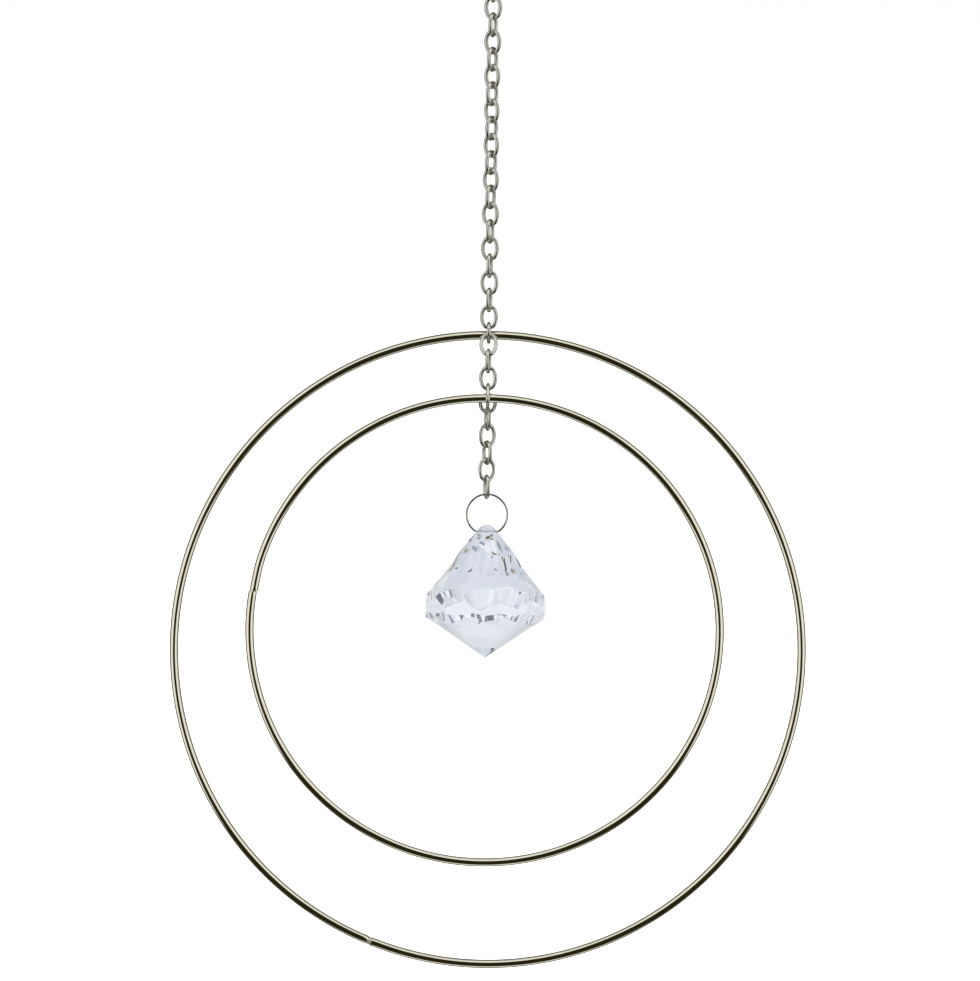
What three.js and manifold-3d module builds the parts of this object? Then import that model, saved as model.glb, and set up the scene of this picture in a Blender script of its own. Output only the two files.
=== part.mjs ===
// Crystal suncatcher: a cable chain carries two wire hoops, one inside the other, and a clear
// faceted drop at their middle. Millimetres, +Z up, the front faces -Y. The origin is the point
// inside the top of the hanging ring where a hook holds it.
import * as THREE from 'three';
import { mergeVertices } from 'three/addons/utils/BufferGeometryUtils.js';
import Module from 'manifold-3d';

const wasm = await Module();
wasm.setup();

const degree = Math.PI / 180;

// Hoops: bent from round wire and butt joined, each a little out of round
const hoopWire = 2.8;
const outerHoopWidth = 203.2;
const outerHoopHeight = 205.2;
const outerHoopShift = 1.1;
const innerHoopWidth = 152.6;
const innerHoopHeight = 151.8;

// Chain: oval links of round wire; the two links that carry the hoops have straighter sides
const linkWire = 1.25;
const linkWidth = 5.9;
const linkLength = 8.05;
const linkEndRadius = 2;
const carrierEndRadius = 2.27;
const linkGap = 0.08;
const linksAboveOuterHoop = 20;
const linksBetweenHoops = 3;
const linksBelowInnerHoop = 6;
const outerCarrierTilt = 48.5 * degree;
const innerCarrierTilt = 35.3 * degree;
const outerLinkLean = 25 * degree;
const innerLinkLean = 30.5 * degree;
const upperTwist = -11 * degree;
const upperTwistWave = -27 * degree;
const upperTwistWaveLinks = 15.5;
const middleTwist = -10 * degree;
const lowerTwist = 26 * degree;

// Rings: one to hang the chain by, one to hang the drop by
const ringDiameter = 13.9;
const ringWire = 0.8;
const ringTurns = 1.2;
const ringStart = -56 * degree;

// Drop: a smooth cone below, a ten sided girdle, a crown of long facets and a collar that narrows
// to a round top with a cross hole
const dropShift = 0.25;
const dropSides = 10;
const dropPhase = -5 * degree;
const dropHeight = 42.8;
const baseSlope = 1.47;
const baseParts = 40;
const girdleRadius = 19.8;
const girdleTop = 17.9;
const crownSlope = 0.75;
const collarHeight = 27.3;
const collarSlope = 0.58;
const collarSink = 8;
const neckHeight = 34.1;
const neckSlope = 0.8;
const domeSteps = 5;
const boreDiameter = 2.5;
const boreDepth = 2.45;
const boreMouthHalf = 4;

const silver = { color: 0xc9c7bd, metalness: 1, roughness: 0.12 };
const champagne = { color: 0xd8d2bb, metalness: 1, roughness: 0.08 };
const crystal = { color: 0xeef2f8, metalness: 0, roughness: 0.03, transparent: true, opacity: 0.35 };

const group = new THREE.Group();
group.name = 'crystal_suncatcher';

function addPiece(name, geometry, look, place = new THREE.Matrix4()) {
  geometry.applyMatrix4(place);
  const mesh = new THREE.Mesh(geometry, new THREE.MeshStandardMaterial(look));
  mesh.name = name;
  group.add(mesh);
}

// Oval centre line in the XZ plane: small arcs at its ends, long arcs along its sides
class OvalLine extends THREE.Curve {
  constructor(halfWidth, halfLength, endRadius) {
    super();
    const spare = halfWidth - endRadius;
    this.endRadius = endRadius;
    this.endCentre = halfLength - endRadius;
    this.sideRadius = endRadius + (this.endCentre ** 2 + spare ** 2) / (2 * spare);
    this.sideCentre = this.sideRadius - halfWidth;
  }

  getPoint(t, target = new THREE.Vector3()) {
    const across = Math.cos(2 * Math.PI * t);
    const along = Math.sin(2 * Math.PI * t);
    const onSide = Math.abs(along) * this.sideCentre < Math.abs(across) * this.endCentre;
    if (onSide) {
      const x = this.sideRadius * across - Math.sign(across) * this.sideCentre;
      return target.set(x, 0, this.sideRadius * along);
    }
    const z = this.endRadius * along + Math.sign(along) * this.endCentre;
    return target.set(this.endRadius * across, 0, z);
  }
}

// Hoop's centre line in the XZ plane
class HoopLine extends THREE.Curve {
  constructor(width, height) {
    super();
    this.halfWidth = (width - hoopWire) / 2;
    this.halfHeight = (height - hoopWire) / 2;
  }

  getPoint(t, target = new THREE.Vector3()) {
    const angle = 2 * Math.PI * t;
    return target.set(this.halfWidth * Math.cos(angle), 0, this.halfHeight * Math.sin(angle));
  }
}

// Ring of wire whose ends lie side by side over the last part of a turn
class LappedRing extends THREE.Curve {
  getPoint(t, target = new THREE.Vector3()) {
    const angle = ringStart + t * ringTurns * 2 * Math.PI;
    const radius = (ringDiameter - ringWire) / 2;
    const step = ringWire + linkGap;
    return target.set(radius * Math.cos(angle), (t - 0.5) * ringTurns * step, radius * Math.sin(angle));
  }
}

function addHoop(name, line, x, top) {
  const hoop = new THREE.TubeGeometry(line, 72, hoopWire / 2, 8, true);
  addPiece(name, hoop, champagne, new THREE.Matrix4().makeTranslation(x, top.y, top.z - line.halfHeight));
}

function linkGeometry(endRadius) {
  const line = new OvalLine((linkWidth - linkWire) / 2, (linkLength - linkWire) / 2, endRadius);
  return new THREE.TubeGeometry(line, 16, linkWire / 2, 6, true);
}

// A link at a point of the chain, leaned about X and turned about Z
function addLink(index, y, z, turn, lean = 0, endRadius = linkEndRadius) {
  const place = new THREE.Matrix4().makeTranslation(0, y, z);
  place.multiply(new THREE.Matrix4().makeRotationX(lean));
  place.multiply(new THREE.Matrix4().makeRotationZ(turn));
  addPiece(`chain_link_${String(index + 1).padStart(2, '0')}`, linkGeometry(endRadius), silver, place);
}

// Where a tilted carrier link holds the hoop, the link above and the link below, seen from the
// hoop's wire. The carrier's top leans to the side that the chain passes on, -1 front, 1 back.
function carrierLayout(tilt, side) {
  const room = linkWidth / 2 - linkWire;
  const bendCentre = (linkLength - linkWidth) / 2;
  const wireRoom = room - linkWire / 2 - linkGap;
  const hoopAlong = -bendCentre - (room - hoopWire / 2 - linkGap);
  const reach = (hoopWire + linkWire) / 2 + linkGap;
  const turned = (along, across) => ({
    y: side * along * Math.sin(tilt) + across * Math.cos(tilt),
    z: along * Math.cos(tilt) - side * across * Math.sin(tilt),
  });
  const aboveAlong = bendCentre + wireRoom * Math.cos(tilt) - hoopAlong;
  return {
    above: turned(aboveAlong, -side * wireRoom * Math.sin(tilt)),
    below: turned(Math.sqrt(reach * reach - wireRoom * wireRoom), side * wireRoom),
    carrier: turned(-hoopAlong, 0),
    lean: -side * tilt,
  };
}

const pitch = linkLength - 2 * linkWire - linkGap;
const bendReach = (linkLength - linkWire) / 2;
const edgeOn = 90 * degree;

function addCarrier(index, hoopTop, layout) {
  const { y, z } = layout.carrier;
  addLink(index, hoopTop.y + y, hoopTop.z + z, edgeOn, layout.lean, carrierEndRadius);
}

// First link below a carrier: it leans past the hoop. Returns where the next link hangs plumb.
function addLeaningLink(index, hoopTop, layout, lean) {
  const leanY = bendReach * Math.sin(lean);
  const leanZ = bendReach * Math.cos(lean);
  const middleY = hoopTop.y + layout.below.y + leanY;
  const middleZ = hoopTop.z + layout.below.z - leanZ;
  addLink(index, middleY, middleZ, 0, lean);
  return { y: middleY + leanY, z: middleZ + linkWire + linkGap - leanZ - bendReach };
}

// Hanging ring, with the hook's point at the origin
const hangingRingCentre = -(ringDiameter / 2 - ringWire);
const hangingRing = new THREE.TorusGeometry((ringDiameter - ringWire) / 2, ringWire / 2, 6, 32);
const ringUpright = new THREE.Matrix4().makeTranslation(0, 0, hangingRingCentre);
ringUpright.multiply(new THREE.Matrix4().makeRotationX(edgeOn));
addPiece('hanging_ring', hangingRing, silver, ringUpright);

// Chain down to the outer hoop, with a slow twist
let index = 0;
let y = 0;
let z = hangingRingCentre - ringDiameter / 2 + ringWire + linkGap + linkWire - linkLength / 2;
for (; index < linksAboveOuterHoop; index += 1) {
  const wave = upperTwistWave * Math.max(0, Math.sin((Math.PI * index) / upperTwistWaveLinks));
  addLink(index, y, z, upperTwist + wave + (index % 2 ? 0 : edgeOn));
  z -= pitch;
}

// Outer hoop behind the chain
const outerLayout = carrierLayout(outerCarrierTilt, -1);
const outerTop = { y: y - outerLayout.above.y, z: z + pitch - bendReach - outerLayout.above.z };
addCarrier(index, outerTop, outerLayout);
index += 1;
addHoop('outer_hoop', new HoopLine(outerHoopWidth, outerHoopHeight), outerHoopShift, outerTop);

// Chain between the hoops, a little twisted after the first link
({ y, z } = addLeaningLink(index, outerTop, outerLayout, -outerLinkLean));
index += 1;
for (let count = 1; count < linksBetweenHoops; count += 1) {
  addLink(index, y, z, middleTwist + (index % 2 ? 0 : edgeOn));
  index += 1;
  z -= pitch;
}

// Inner hoop in front of the chain
const innerLayout = carrierLayout(innerCarrierTilt, 1);
const innerTop = { y: y - innerLayout.above.y, z: z + pitch - bendReach - innerLayout.above.z };
addCarrier(index, innerTop, innerLayout);
index += 1;
addHoop('inner_hoop', new HoopLine(innerHoopWidth, innerHoopHeight), 0, innerTop);

// Chain below the inner hoop, twisting as it hangs
({ y, z } = addLeaningLink(index, innerTop, innerLayout, innerLinkLean));
index += 1;
for (let count = 1; count < linksBelowInnerHoop; count += 1) {
  const twist = lowerTwist * Math.sin((Math.PI * count) / linksBelowInnerHoop);
  addLink(index, y, z, twist + (index % 2 ? 0 : edgeOn));
  index += 1;
  z -= pitch;
}

// Ring that carries the drop
const ringRadius = (ringDiameter - ringWire) / 2;
const dropRingCentre = z + pitch - linkLength / 2 + linkWire + linkGap + ringWire / 2 - ringRadius;
const wireSection = new THREE.Shape().absarc(0, 0, ringWire / 2, 0, 2 * Math.PI);
const dropRing = new THREE.ExtrudeGeometry(wireSection, {
  extrudePath: new LappedRing(),
  steps: 38,
  curveSegments: 3,
});
addPiece('crystal_ring', dropRing, silver, new THREE.Matrix4().makeTranslation(dropShift, y, dropRingCentre));

function solidFrom(geometry) {
  geometry.deleteAttribute('normal');
  geometry.deleteAttribute('uv');
  const merged = mergeVertices(geometry, 1e-5);
  return new wasm.Manifold(
    new wasm.Mesh({
      numProp: 3,
      vertProperties: new Float32Array(merged.attributes.position.array),
      triVerts: new Uint32Array(merged.index.array),
    }),
  );
}

function geometryFrom(solid) {
  const mesh = solid.getMesh();
  const geometry = new THREE.BufferGeometry();
  geometry.setAttribute('position', new THREE.BufferAttribute(mesh.vertProperties, 3));
  geometry.setIndex(new THREE.BufferAttribute(mesh.triVerts, 1));
  return geometry;
}

// Grinds one flat on the drop: its azimuth from the front, its radius at a height, and how much
// the radius shrinks for each millimetre upwards
function grind(solid, azimuth, radius, height, slope) {
  const size = 4 * girdleRadius;
  const block = new THREE.BoxGeometry(size, size, size);
  block.translate(size / 2, 0, 0);
  block.rotateY(-Math.atan(slope));
  block.translate(radius, 0, height);
  block.rotateZ(azimuth - edgeOn);
  return solid.subtract(solidFrom(block));
}

function dropGeometry() {
  const step = (2 * Math.PI) / dropSides;
  const flatRadius = girdleRadius * Math.cos(step / 2);
  const blank = new THREE.CylinderGeometry(baseSlope * dropHeight, 0, dropHeight, baseParts);
  blank.rotateX(edgeOn);
  blank.translate(0, 0, dropHeight / 2);
  let solid = solidFrom(blank);
  for (let side = 0; side < dropSides; side += 1) {
    const corner = dropPhase + side * step;
    const flat = corner + step / 2;
    solid = grind(solid, flat, flatRadius, 0, 0);
    solid = grind(solid, corner, girdleRadius, girdleTop, crownSlope);
  }

  // Round top on a twenty sided collar
  const collarRadius = girdleRadius - crownSlope * (collarHeight - girdleTop);
  const neckRadius = collarRadius - collarSlope * (neckHeight - collarHeight);
  const slant = Math.hypot(1, neckSlope);
  const domeRadius = (neckRadius - neckSlope * (dropHeight - neckHeight)) / (slant - neckSlope);
  const collarFoot = collarHeight - collarSink;
  const profile = [
    new THREE.Vector2(0, collarFoot),
    new THREE.Vector2(collarRadius + collarSlope * collarSink, collarFoot),
    new THREE.Vector2(neckRadius, neckHeight),
  ];
  const domeStart = Math.atan(neckSlope);
  for (let part = 0; part < domeSteps; part += 1) {
    const angle = domeStart + ((edgeOn - domeStart) * part) / domeSteps;
    const height = dropHeight - domeRadius + domeRadius * Math.sin(angle);
    profile.push(new THREE.Vector2(domeRadius * Math.cos(angle), height));
  }
  profile.push(new THREE.Vector2(0, dropHeight));
  const collar = new THREE.LatheGeometry(profile, 2 * dropSides, dropPhase);
  collar.rotateX(edgeOn);

  const bore = new THREE.CylinderGeometry(boreDiameter / 2, boreDiameter / 2, 2 * girdleRadius, 16);
  bore.rotateZ(edgeOn);
  bore.translate(0, 0, dropHeight - boreDepth);
  return geometryFrom(solid.add(solidFrom(collar)).subtract(solidFrom(bore)));
}

// The ring's lowest wire lies along the middle of the drop's hole
const ringFoot = new LappedRing().getPoint((1.5 * Math.PI - ringStart) / (ringTurns * 2 * Math.PI));
const ringRise = ringRadius - Math.sqrt(ringRadius ** 2 - boreMouthHalf ** 2);
const boreHeight = dropRingCentre - ringRadius + ringRise / 2;
const dropFoot = boreHeight + boreDepth - dropHeight;
const dropPlace = new THREE.Matrix4().makeTranslation(dropShift, y + ringFoot.y, dropFoot);
addPiece('crystal_drop', dropGeometry(), crystal, dropPlace);

export default group;
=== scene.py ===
import math

import bmesh
import bpy
import numpy as np
from mathutils import Matrix, Vector


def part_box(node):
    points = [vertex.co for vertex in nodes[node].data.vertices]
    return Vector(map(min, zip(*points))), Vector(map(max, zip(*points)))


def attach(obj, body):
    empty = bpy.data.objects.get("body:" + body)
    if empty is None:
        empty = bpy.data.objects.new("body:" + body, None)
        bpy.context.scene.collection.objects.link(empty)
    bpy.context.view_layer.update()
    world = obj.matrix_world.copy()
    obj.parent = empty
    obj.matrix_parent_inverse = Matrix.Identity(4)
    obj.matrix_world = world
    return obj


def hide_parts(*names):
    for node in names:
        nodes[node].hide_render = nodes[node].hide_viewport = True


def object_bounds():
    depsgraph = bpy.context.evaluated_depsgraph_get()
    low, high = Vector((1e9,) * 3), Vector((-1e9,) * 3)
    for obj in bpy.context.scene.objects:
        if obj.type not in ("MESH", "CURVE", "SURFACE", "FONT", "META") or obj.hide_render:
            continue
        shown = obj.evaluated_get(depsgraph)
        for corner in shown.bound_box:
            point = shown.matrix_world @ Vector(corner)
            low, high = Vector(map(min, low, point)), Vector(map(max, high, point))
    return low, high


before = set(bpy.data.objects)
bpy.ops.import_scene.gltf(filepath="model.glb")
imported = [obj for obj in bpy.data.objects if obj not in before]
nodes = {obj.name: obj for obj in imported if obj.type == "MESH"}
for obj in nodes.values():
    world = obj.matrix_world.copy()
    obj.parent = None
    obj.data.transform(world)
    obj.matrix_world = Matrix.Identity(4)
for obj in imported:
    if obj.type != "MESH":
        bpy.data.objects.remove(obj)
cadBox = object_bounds()
mm = 0.001
mergeMm = 0.002  # points nearer than this are one
print("frame loaded:", len(nodes), "nodes")


def linearColour(hexText):
    parts = [int(hexText[i:i + 2], 16) / 255 for i in (1, 3, 5)]
    return tuple(c / 12.92 if c <= 0.04045 else ((c + 0.055) / 1.055) ** 2.4 for c in parts) + (1.0,)


def addNode(tree, kind, settings=None, links=None):
    node = tree.nodes.new(kind)
    for key, value in (settings or {}).items():
        if isinstance(key, str) and hasattr(node, key):
            setattr(node, key, value)
        else:
            node.inputs[key].default_value = value
    for key, source in (links or {}).items():
        tree.links.new(source, node.inputs[key])
    return node


def addNoise(tree, place, scale, detail, rough=0.5):
    settings = {"Scale": scale, "Detail": detail, "Roughness": rough}
    return addNode(tree, "ShaderNodeTexNoise", settings, {"Vector": place}).outputs["Fac"]


def addRange(tree, source, start, end, low=0.0, high=1.0):  # turns start to end into low to high
    settings = {1: start, 2: end, 3: low, 4: high}
    return addNode(tree, "ShaderNodeMapRange", settings, {0: source}).outputs[0]


def mixColour(tree, share, first, second):  # colours come as hex text or as another node's output
    node = addNode(tree, "ShaderNodeMix", {"data_type": "RGBA"}, {0: share})
    for socket, colour in ((6, first), (7, second)):
        if isinstance(colour, str):
            node.inputs[socket].default_value = linearColour(colour)
        else:
            tree.links.new(colour, node.inputs[socket])
    return node.outputs[2]


def newMaterial(name):
    material = bpy.data.materials.new(name)
    material.use_nodes = True
    material.node_tree.nodes.clear()
    return material, material.node_tree


def perMetre(sizeMm):  # noise scale that gives features of this size
    return 1 / (sizeMm * mm)


# polished plated steel wire: a mirror with faint drawing ripples and a few dull handling marks
hoopLook = {"name": "polished_champagne_steel", "bright": "#E9E6D6", "dull": "#D9D4BF",
            "rough": (0.035, 0.11), "roughFrom": (0.35, 0.75),
            "markMm": 9, "markDetail": 5.0, "markRough": 0.62,
            "rippleMm": 1.1, "rippleDetail": 2.0, "rippleDeepMm": 0.012, "rippleStrength": 0.35}

# tumbled nickel-plated chain: softer shine than the hoops, greyer where links rub
chainLook = {"name": "tumbled_nickel_plate", "bright": "#E4E3DD", "dull": "#BFBEB6",
             "rough": (0.09, 0.21), "roughFrom": (0.3, 0.7),
             "markMm": 1.6, "markDetail": 4.0, "markRough": 0.6,
             "rippleMm": 0.28, "rippleDetail": 2.0, "rippleDeepMm": 0.02, "rippleStrength": 0.3}


def platedWire(look):
    material, tree = newMaterial(look["name"])
    place = addNode(tree, "ShaderNodeTexCoord").outputs["Object"]
    marks = addNoise(tree, place, perMetre(look["markMm"]), look["markDetail"], look["markRough"])
    tone = mixColour(tree, marks, look["bright"], look["dull"])
    rough = addRange(tree, marks, *look["roughFrom"], *look["rough"])
    ripple = addNoise(tree, place, perMetre(look["rippleMm"]), look["rippleDetail"])
    depth = {"Strength": look["rippleStrength"], "Distance": look["rippleDeepMm"] * mm}
    bump = addNode(tree, "ShaderNodeBump", depth, {"Height": ripple})
    shader = addNode(tree, "ShaderNodeBsdfPrincipled", {"Metallic": 1.0},
                     {"Base Color": tone, "Roughness": rough, "Normal": bump.outputs["Normal"]})
    addNode(tree, "ShaderNodeOutputMaterial", None, {"Surface": shader.outputs["BSDF"]})
    return material


# moulded clear acrylic: water clear with a cool cast, facets very slightly wavy from the mould
dropLook = {"tint": "#F5F7FA", "ior": 1.49, "rough": 0.012,
            "waveMm": 7, "waveDetail": 1.0, "waveDeepMm": 0.035, "waveStrength": 0.4}


def clearAcrylic():
    material, tree = newMaterial("moulded_clear_acrylic")
    place = addNode(tree, "ShaderNodeTexCoord").outputs["Object"]
    wave = addNoise(tree, place, perMetre(dropLook["waveMm"]), dropLook["waveDetail"])
    depth = {"Strength": dropLook["waveStrength"], "Distance": dropLook["waveDeepMm"] * mm}
    bump = addNode(tree, "ShaderNodeBump", depth, {"Height": wave})
    shader = addNode(tree, "ShaderNodeBsdfPrincipled",
                     {"Base Color": linearColour(dropLook["tint"]), "Roughness": dropLook["rough"],
                      "IOR": dropLook["ior"], "Transmission Weight": 1.0},
                     {"Normal": bump.outputs["Normal"]})
    addNode(tree, "ShaderNodeOutputMaterial", None, {"Surface": shader.outputs["BSDF"]})
    return material


steel = platedWire(hoopLook)
nickel = platedWire(chainLook)
acrylic = clearAcrylic()
print("materials made")


def finishPiece(bm, name, material, smooth=True):
    mesh = bpy.data.meshes.new(name)
    if smooth:
        for face in bm.faces:
            face.smooth = True
    bm.to_mesh(mesh)
    bm.free()
    mesh.materials.append(material)
    piece = bpy.data.objects.new(name, mesh)
    bpy.context.scene.collection.objects.link(piece)
    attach(piece, "root")
    return piece


def sweepWire(bm, wireMm, radius, sides, angle, steps, rise=0.0):  # from +X through +Z; gives the end rims
    start = bmesh.ops.create_circle(bm, segments=sides, radius=wireMm * mm / 2)
    bmesh.ops.translate(bm, verts=start["verts"], vec=(radius, 0, 0))
    bmesh.ops.spin(bm, geom=bm.verts[:] + bm.edges[:], cent=(0, 0, 0), axis=(0, -1, 0),
                   dvec=(0, rise / steps, 0), angle=angle, steps=steps)
    return [edge for edge in bm.edges if edge.is_boundary]


def roundEdges(bm, edges, roundMm, steps, clamp=False):
    bmesh.ops.bevel(bm, geom=edges, offset=roundMm * mm, affect="EDGES", segments=steps,
                    profile=0.5, material=-1, clamp_overlap=clamp)


# hoops: the wire ends meet in a joint that still shows, welded on the outer hoop, butted on the inner
hoopWire = {"wireMm": 2.8, "sides": 28, "steps": 288, "roundSteps": 3}
outerHoop = {"node": "outer_hoop", "jointDeg": 248.5, "gapMm": 0.75, "roundMm": 0.3, "neck": 0.86,
             "stepMm": 0.0, "stepReachDeg": 1}
innerHoop = {"node": "inner_hoop", "jointDeg": 170.8, "gapMm": 0.22, "roundMm": 0.07, "neck": 0.6,
             "stepMm": 0.3, "stepReachDeg": 9}


def joinEnds(bm, rims, roundMm, neck):  # rounds the two ends and joins them by a thinner neck
    grown = bmesh.ops.extrude_edge_only(bm, edges=rims)["geom"]
    inner = [g for g in grown if isinstance(g, bmesh.types.BMVert)]
    atStart = [v for v in inner if abs(v.co.z) < mergeMm * mm / 2]
    atEnd = [v for v in inner if v not in atStart]
    for ring in (atStart, atEnd):
        middle = sum((v.co for v in ring), Vector()) / len(ring)
        bmesh.ops.scale(bm, vec=(neck, neck, neck), space=Matrix.Translation(-middle), verts=ring)
    bmesh.ops.bridge_loops(bm, edges=[e for e in bm.edges if e.is_boundary])
    bmesh.ops.recalc_face_normals(bm, faces=bm.faces[:])
    roundEdges(bm, rims, roundMm, hoopWire["roundSteps"])


def makeHoop(values):
    wire = hoopWire["wireMm"]
    low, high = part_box(values["node"])
    centre = (low + high) / 2
    halfWidth = (high.x - low.x - wire * mm) / 2
    halfHeight = (high.z - low.z - wire * mm) / 2
    gap = values["gapMm"] * mm / halfWidth
    bm = bmesh.new()
    rims = sweepWire(bm, wire, halfWidth, hoopWire["sides"], 2 * math.pi - gap, hoopWire["steps"])
    reach = math.radians(values["stepReachDeg"])
    for vert in bm.verts:  # the last end of the wire stands a little inwards
        back = (-math.atan2(vert.co.z, vert.co.x)) % (2 * math.pi)
        if gap / 2 < back < reach:
            fall = 0.5 + 0.5 * math.cos(math.pi * back / reach)
            outward = Vector((vert.co.x, 0, vert.co.z)).normalized()
            vert.co -= outward * values["stepMm"] * mm * fall
    joinEnds(bm, rims, values["roundMm"], values["neck"])
    turn = Matrix.Rotation(-math.radians(values["jointDeg"]) - gap / 2, 4, "Y")
    bmesh.ops.transform(bm, matrix=turn, verts=bm.verts)
    bmesh.ops.scale(bm, vec=(1, 1, halfHeight / halfWidth), verts=bm.verts)
    bmesh.ops.translate(bm, vec=centre, verts=bm.verts)
    piece = finishPiece(bm, values["node"] + "_wire", steel)
    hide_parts(values["node"])


makeHoop(outerHoop)
makeHoop(innerHoop)
print("hoops made")


# chain: one oval link, bent from four arcs with a hairline joint, laid on every CAD link
chainLink = {"wireMm": 1.25, "widthMm": 5.9, "lengthMm": 8.05, "endRadiusMm": 2.0, "carrierEndMm": 2.27,
             "sides": 18, "endSteps": 20, "sideSteps": 16, "jointMm": 0.05, "jointDepth": 0.06,
             "carriers": ("chain_link_21", "chain_link_25")}


def linkShape(endMm):
    wire = chainLink["wireMm"] * mm
    end = endMm * mm
    halfWidth = (chainLink["widthMm"] * mm - wire) / 2
    endCentre = (chainLink["lengthMm"] * mm - wire) / 2 - end
    spare = halfWidth - end
    side = end + (endCentre ** 2 + spare ** 2) / (2 * spare)
    sideCentre = side - halfWidth
    span = math.atan2(endCentre, sideCentre)
    joint = chainLink["jointMm"] * mm / side
    bm = bmesh.new()
    start = bmesh.ops.create_circle(bm, segments=chainLink["sides"], radius=wire / 2)
    bmesh.ops.translate(bm, verts=start["verts"], vec=(halfWidth, 0, 0))
    ring = bm.edges[:]
    nearJoint = [(sideCentre, 0, joint, 1), (sideCentre, 0, 2 * joint, 1)]  # short steps beside the joint
    halfSide = (sideCentre, 0, span - 3 * joint, chainLink["sideSteps"] // 2)
    farSide = (-sideCentre, 0, 2 * span, chainLink["sideSteps"])
    topEnd = (0, endCentre, math.pi - 2 * span, chainLink["endSteps"])
    lowEnd = (0, -endCentre, math.pi - 2 * span, chainLink["endSteps"])
    for x, z, angle, steps in nearJoint + [halfSide, topEnd, farSide, lowEnd, halfSide] + nearJoint[::-1]:
        geometry = ring + list({v for e in ring for v in e.verts})
        turned = bmesh.ops.spin(bm, geom=geometry, cent=(-x, 0, z), axis=(0, -1, 0), angle=angle, steps=steps)
        ring = [g for g in turned["geom_last"] if isinstance(g, bmesh.types.BMEdge)]
    bmesh.ops.remove_doubles(bm, verts=bm.verts, dist=mergeMm * mm)
    atJoint = [v for v in bm.verts if abs(v.co.z) < mergeMm * mm and v.co.x > 0]
    size = 1 - chainLink["jointDepth"]
    bmesh.ops.scale(bm, vec=(size, size, 1), space=Matrix.Translation((-halfWidth, 0, 0)), verts=atJoint)
    bmesh.ops.recalc_face_normals(bm, faces=bm.faces[:])
    return bm


def linkPlace(name):  # centre and axes of a CAD link: width along X, wire across Y, length along Z
    points = np.array([v.co for v in nodes[name].data.vertices], float)
    centre = points.mean(0)
    axes = np.linalg.eigh(np.cov((points - centre).T))[1]
    length = Vector(axes[:, 2])
    width = Vector(axes[:, 1])
    length *= 1 if length.z > 0 else -1
    width *= 1 if width.x + width.y > 0 else -1
    across = length.cross(width)
    return Matrix.Translation(Vector(centre)) @ Matrix((width, across, length)).transposed().to_4x4()


plainLink = linkShape(chainLink["endRadiusMm"])
carrierLink = linkShape(chainLink["carrierEndMm"])
linkNames = sorted(name for name in nodes if name.startswith("chain_link_"))
for name in linkNames:
    bm = (carrierLink if name in chainLink["carriers"] else plainLink).copy()
    bmesh.ops.transform(bm, matrix=linkPlace(name), verts=bm.verts)
    piece = finishPiece(bm, name + "_wire", nickel)
    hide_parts(name)
plainLink.free()
carrierLink.free()
print("chain made:", len(linkNames), "links")


# rings: a plain closed one to hang by, and a lapped one that carries the drop
ringWire = {"wireMm": 0.8, "sides": 18, "steps": 120, "roundMm": 0.1, "roundSteps": 3}
hangingRing = {"node": "hanging_ring", "startDeg": 20, "gapMm": 0.12, "stepMm": 0.0}
dropRing = {"node": "crystal_ring", "startDeg": -56, "turns": 1.2, "stepMm": 0.88}


def makeRing(values):
    low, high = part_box(values["node"])
    radius = (high.x - low.x - ringWire["wireMm"] * mm) / 2
    turns = values.get("turns", 1 - values.get("gapMm", 0) * mm / (2 * math.pi * radius))
    rise = turns * values["stepMm"] * mm
    bm = bmesh.new()
    rims = sweepWire(bm, ringWire["wireMm"], radius, ringWire["sides"], turns * 2 * math.pi,
                     ringWire["steps"], rise)
    bmesh.ops.edgeloop_fill(bm, edges=rims)
    bmesh.ops.recalc_face_normals(bm, faces=bm.faces[:])
    roundEdges(bm, rims, ringWire["roundMm"], ringWire["roundSteps"])
    turn = Matrix.Rotation(-math.radians(values["startDeg"]), 4, "Y")
    bmesh.ops.transform(bm, matrix=turn, verts=bm.verts)
    bmesh.ops.translate(bm, vec=(low + high) / 2 - Vector((0, rise / 2, 0)), verts=bm.verts)
    piece = finishPiece(bm, values["node"] + "_wire", nickel)
    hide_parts(values["node"])


makeRing(hangingRing)
makeRing(dropRing)
print("rings made")


# drop: the moulded solid with its edges just broken, a smooth cone below and a smooth round top
drop = {"node": "crystal_drop", "edgeMm": 0.14, "edgeSteps": 2, "sharpDeg": 8, "flatDeg": 1,
        "domeMm": 1.9, "tipMm": 1.0, "coneNormal": -0.8}


def makeDrop():
    bm = bmesh.new()
    bm.from_mesh(nodes[drop["node"]].data)
    bmesh.ops.remove_doubles(bm, verts=bm.verts, dist=mergeMm * mm)
    bmesh.ops.dissolve_limit(bm, angle_limit=math.radians(drop["flatDeg"]), verts=bm.verts, edges=bm.edges)
    low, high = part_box(drop["node"])
    domeFoot = high.z - drop["domeMm"] * mm
    everything = bm.verts[:] + bm.edges[:] + bm.faces[:]
    tipTop = (0, 0, low.z + drop["tipMm"] * mm)
    bmesh.ops.bisect_plane(bm, geom=everything, plane_co=tipTop, plane_no=(0, 0, 1))
    sharp = []
    for edge in bm.edges:
        onDome = min(v.co.z for v in edge.verts) > domeFoot
        if edge.is_manifold and not onDome and edge.calc_face_angle() > math.radians(drop["sharpDeg"]):
            sharp.append(edge)
    roundEdges(bm, sharp, drop["edgeMm"], drop["edgeSteps"], clamp=True)
    for face in bm.faces:
        onDome = min(v.co.z for v in face.verts) > domeFoot
        face.smooth = onDome or face.normal.z < drop["coneNormal"]
    for edge in bm.edges:
        edge.smooth = all(face.smooth for face in edge.link_faces)
    piece = finishPiece(bm, "crystal_drop_clear", acrylic, smooth=False)
    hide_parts(drop["node"])


makeDrop()
print("drop made")


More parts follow.
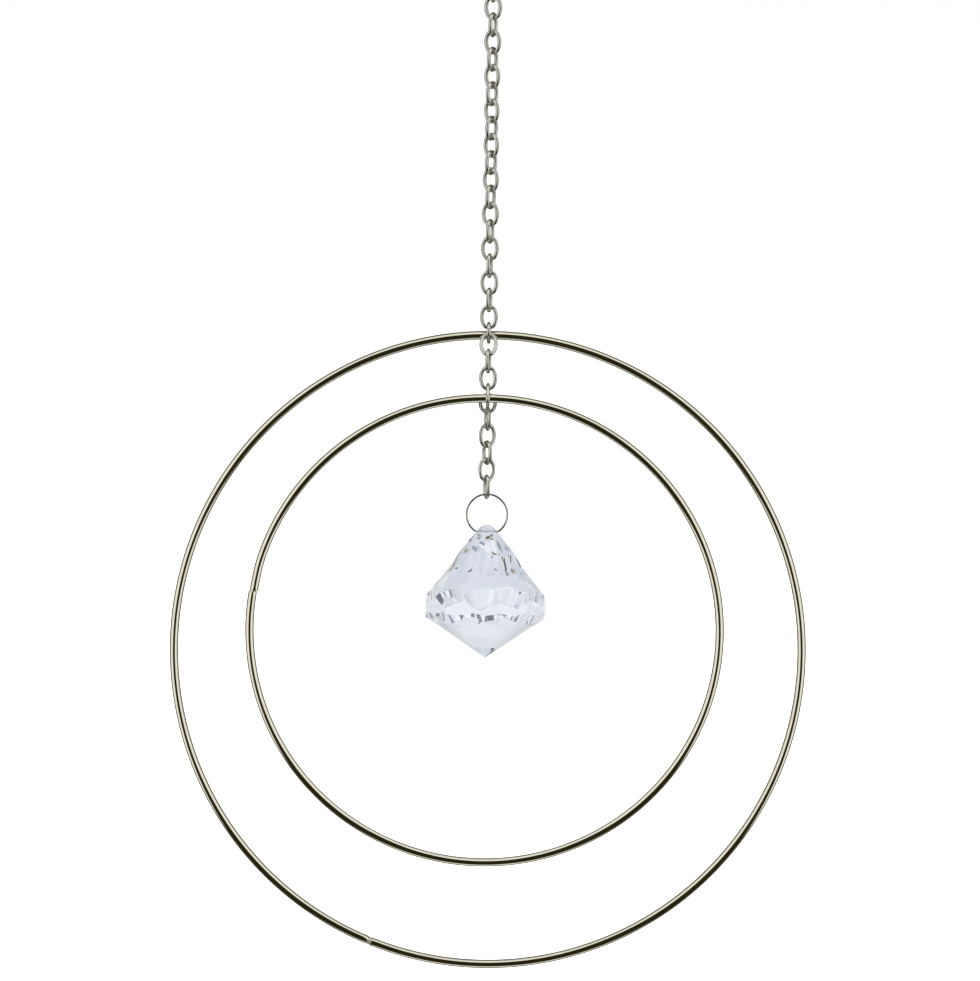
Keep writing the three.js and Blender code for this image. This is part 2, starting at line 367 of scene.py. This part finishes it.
# floor: far below the hanging piece, only to carry the pale ground
ground = {"halfSizeM": 9, "behindM": 5, "belowM": 0.14, "colour": "#FEFEFE", "rough": 0.9}


def makeFloor():
    bm = bmesh.new()
    bmesh.ops.create_grid(bm, x_segments=1, y_segments=1, size=ground["halfSizeM"])
    place = (0, ground["behindM"], cadBox[0][2] - ground["belowM"])
    bmesh.ops.translate(bm, vec=place, verts=bm.verts)
    mesh = bpy.data.meshes.new("floor")
    bm.to_mesh(mesh)
    bm.free()
    material, tree = newMaterial("pale_floor")
    shader = addNode(tree, "ShaderNodeBsdfPrincipled",
                     {"Base Color": linearColour(ground["colour"]), "Roughness": ground["rough"]})
    addNode(tree, "ShaderNodeOutputMaterial", None, {"Surface": shader.outputs["BSDF"]})
    mesh.materials.append(material)
    floor = bpy.data.objects.new("floor", mesh)
    bpy.context.scene.collection.objects.link(floor)
    floor.visible_glossy = False  # the piece mirrors the studio, not the ground
    floor.visible_transmission = False


makeFloor()


# studio: a white tent, given by direction from -1 to 1 on each axis
studio = {"white": "#FFFFFF", "strength": 1.05, "softEdge": 0.1}

# metal mirrors a dark slot in front that widens downwards, grey sides behind and a pale far wall
metalView = {"slot": "#2A2716", "wide": 0.34, "low": -0.85, "high": 0.6, "spread": 0.6,
             "back": "#6A685D", "backFrom": (-0.12, 0.12), "farWall": "#E8E6DC", "farFrom": (0.84, 0.93)}

# the drop shows a pale cloudy room, a darker ground, bright and dark panes in front and a narrow dark slot
clearView = {"slot": "#59606C", "wide": 0.09, "low": -0.3, "high": 0.02, "spread": 0.0,
             "pale": "#F4F5F8", "shade": "#E9EBF1",
             "cloud": 2.3, "cloudDetail": 1.0, "cloudFrom": (0.38, 0.62),
             "below": "#D7DCE6", "belowFrom": (-0.12, -0.4), "belowShare": 0.85,
             "panePale": "#F8F9FB", "paneDark": "#737985",
             "panes": 8, "paneDetail": 0.0, "paneFrom": (0.49, 0.56),
             "frontFrom": (-0.5, -0.62)}


def slotMask(tree, axis, values):  # soft-edged upright patch towards the front
    soft = studio["softEdge"]
    aside = addNode(tree, "ShaderNodeMath", {"operation": "ABSOLUTE"}, {0: axis["X"]})
    down = addNode(tree, "ShaderNodeMath", {"operation": "MINIMUM", 1: 0.0}, {0: axis["Z"]})
    aside = addNode(tree, "ShaderNodeMath", {"operation": "MULTIPLY_ADD", 1: values["spread"]},
                    {0: down.outputs[0], 2: aside.outputs[0]})
    front = addNode(tree, "ShaderNodeMath", {"operation": "LESS_THAN", 1: 0.0}, {0: axis["Y"]})
    mask = addRange(tree, aside.outputs[0], values["wide"], values["wide"] + soft, 1.0, 0.0)
    for part in (addRange(tree, axis["Z"], values["high"], values["high"] + soft, 1.0, 0.0),
                 addRange(tree, axis["Z"], values["low"] - soft, values["low"]),
                 front.outputs[0]):
        mask = addNode(tree, "ShaderNodeMath", {"operation": "MULTIPLY"}, {0: mask, 1: part}).outputs[0]
    return mask


def metalRoom(tree, axis):
    behind = addRange(tree, axis["Y"], *metalView["backFrom"])
    room = mixColour(tree, behind, studio["white"], metalView["back"])
    room = mixColour(tree, addRange(tree, axis["Y"], *metalView["farFrom"]), room, metalView["farWall"])
    return mixColour(tree, slotMask(tree, axis, metalView), room, metalView["slot"])


def clearRoom(tree, axis, look):
    cloud = addNoise(tree, look, clearView["cloud"], clearView["cloudDetail"])
    patches = addRange(tree, cloud, *clearView["cloudFrom"])
    room = mixColour(tree, patches, clearView["pale"], clearView["shade"])
    below = addRange(tree, axis["Z"], *clearView["belowFrom"], 0.0, clearView["belowShare"])
    room = mixColour(tree, below, room, clearView["below"])
    fine = addNoise(tree, look, clearView["panes"], clearView["paneDetail"])
    panes = addRange(tree, fine, *clearView["paneFrom"])
    front = mixColour(tree, panes, clearView["paneDark"], clearView["panePale"])
    room = mixColour(tree, addRange(tree, axis["Y"], *clearView["frontFrom"]), room, front)
    return mixColour(tree, slotMask(tree, axis, clearView), room, clearView["slot"])


def makeStudio():
    world = bpy.data.worlds.new("studio")
    bpy.context.scene.world = world
    world.use_nodes = True
    tree = world.node_tree
    tree.nodes.clear()
    look = addNode(tree, "ShaderNodeTexCoord").outputs["Generated"]
    axis = addNode(tree, "ShaderNodeSeparateXYZ", None, {0: look}).outputs
    kind = addNode(tree, "ShaderNodeLightPath").outputs
    room = mixColour(tree, kind["Is Transmission Ray"], metalRoom(tree, axis), clearRoom(tree, axis, look))
    plain = addNode(tree, "ShaderNodeMath", {"operation": "MAXIMUM"},
                    {0: kind["Is Camera Ray"], 1: kind["Is Diffuse Ray"]})
    seen = mixColour(tree, plain.outputs[0], room, studio["white"])
    light = addNode(tree, "ShaderNodeBackground", {"Strength": studio["strength"]}, {"Color": seen})
    addNode(tree, "ShaderNodeOutputWorld", None, {"Surface": light.outputs[0]})


makeStudio()


# lamps: one soft box beside the camera and a wide fill for the floor, in metres and watts
lamps = {"key_softbox": {"place": (-0.7, -0.7, 0.55), "aim": (0, 0, -0.2), "size": 0.5, "watts": 9},
         "floor_fill": {"place": (0, 1.2, 1.6), "aim": (0, 1.2, -0.5), "size": 2.5, "watts": 60}}


def softLight(name, values):
    data = bpy.data.lights.new(name, "AREA")
    data.size = values["size"]
    data.energy = values["watts"]
    lamp = bpy.data.objects.new(name, data)
    place = Vector(values["place"])
    turn = (Vector(values["aim"]) - place).to_track_quat("-Z", "Y").to_matrix().to_4x4()
    lamp.matrix_world = Matrix.Translation(place) @ turn
    lamp.visible_glossy = False  # the piece shows the studio, not the lamps
    lamp.visible_transmission = False
    bpy.context.scene.collection.objects.link(lamp)


for name, values in lamps.items():
    softLight(name, values)
print("studio made")


# camera: a long lens looking slightly down on the drop, turned by the photo's slight roll
view = {"aimMm": (1.1, 0, -174.4), "downDeg": 6.5, "farMm": 3000, "frameMm": 312.1, "rollDeg": 0.8,
        "sensorMm": 36, "clipM": 0.01}


def makeCamera():
    data = bpy.data.cameras.new("camera")
    data.sensor_fit = "HORIZONTAL"
    data.sensor_width = view["sensorMm"]
    data.lens = view["sensorMm"] * view["farMm"] / view["frameMm"]
    data.clip_start = view["clipM"]
    turn = Matrix.Rotation(math.radians(90 - view["downDeg"]), 3, "X")
    turn = turn @ Matrix.Rotation(math.radians(view["rollDeg"]), 3, "Z")
    place = Vector(view["aimMm"]) + turn @ Vector((0, 0, view["farMm"]))
    camera = bpy.data.objects.new("camera", data)
    camera.matrix_world = Matrix.Translation(place * mm) @ turn.to_4x4()
    bpy.context.scene.collection.objects.link(camera)
    bpy.context.scene.camera = camera


makeCamera()
bpy.context.scene.view_settings.view_transform = "Standard"

# light turns many times inside the drop
lightPaths = {"max_bounces": 40, "glossy_bounces": 32, "transmission_bounces": 40}
for name, count in lightPaths.items():
    setattr(bpy.context.scene.cycles, name, count)
print("camera set")
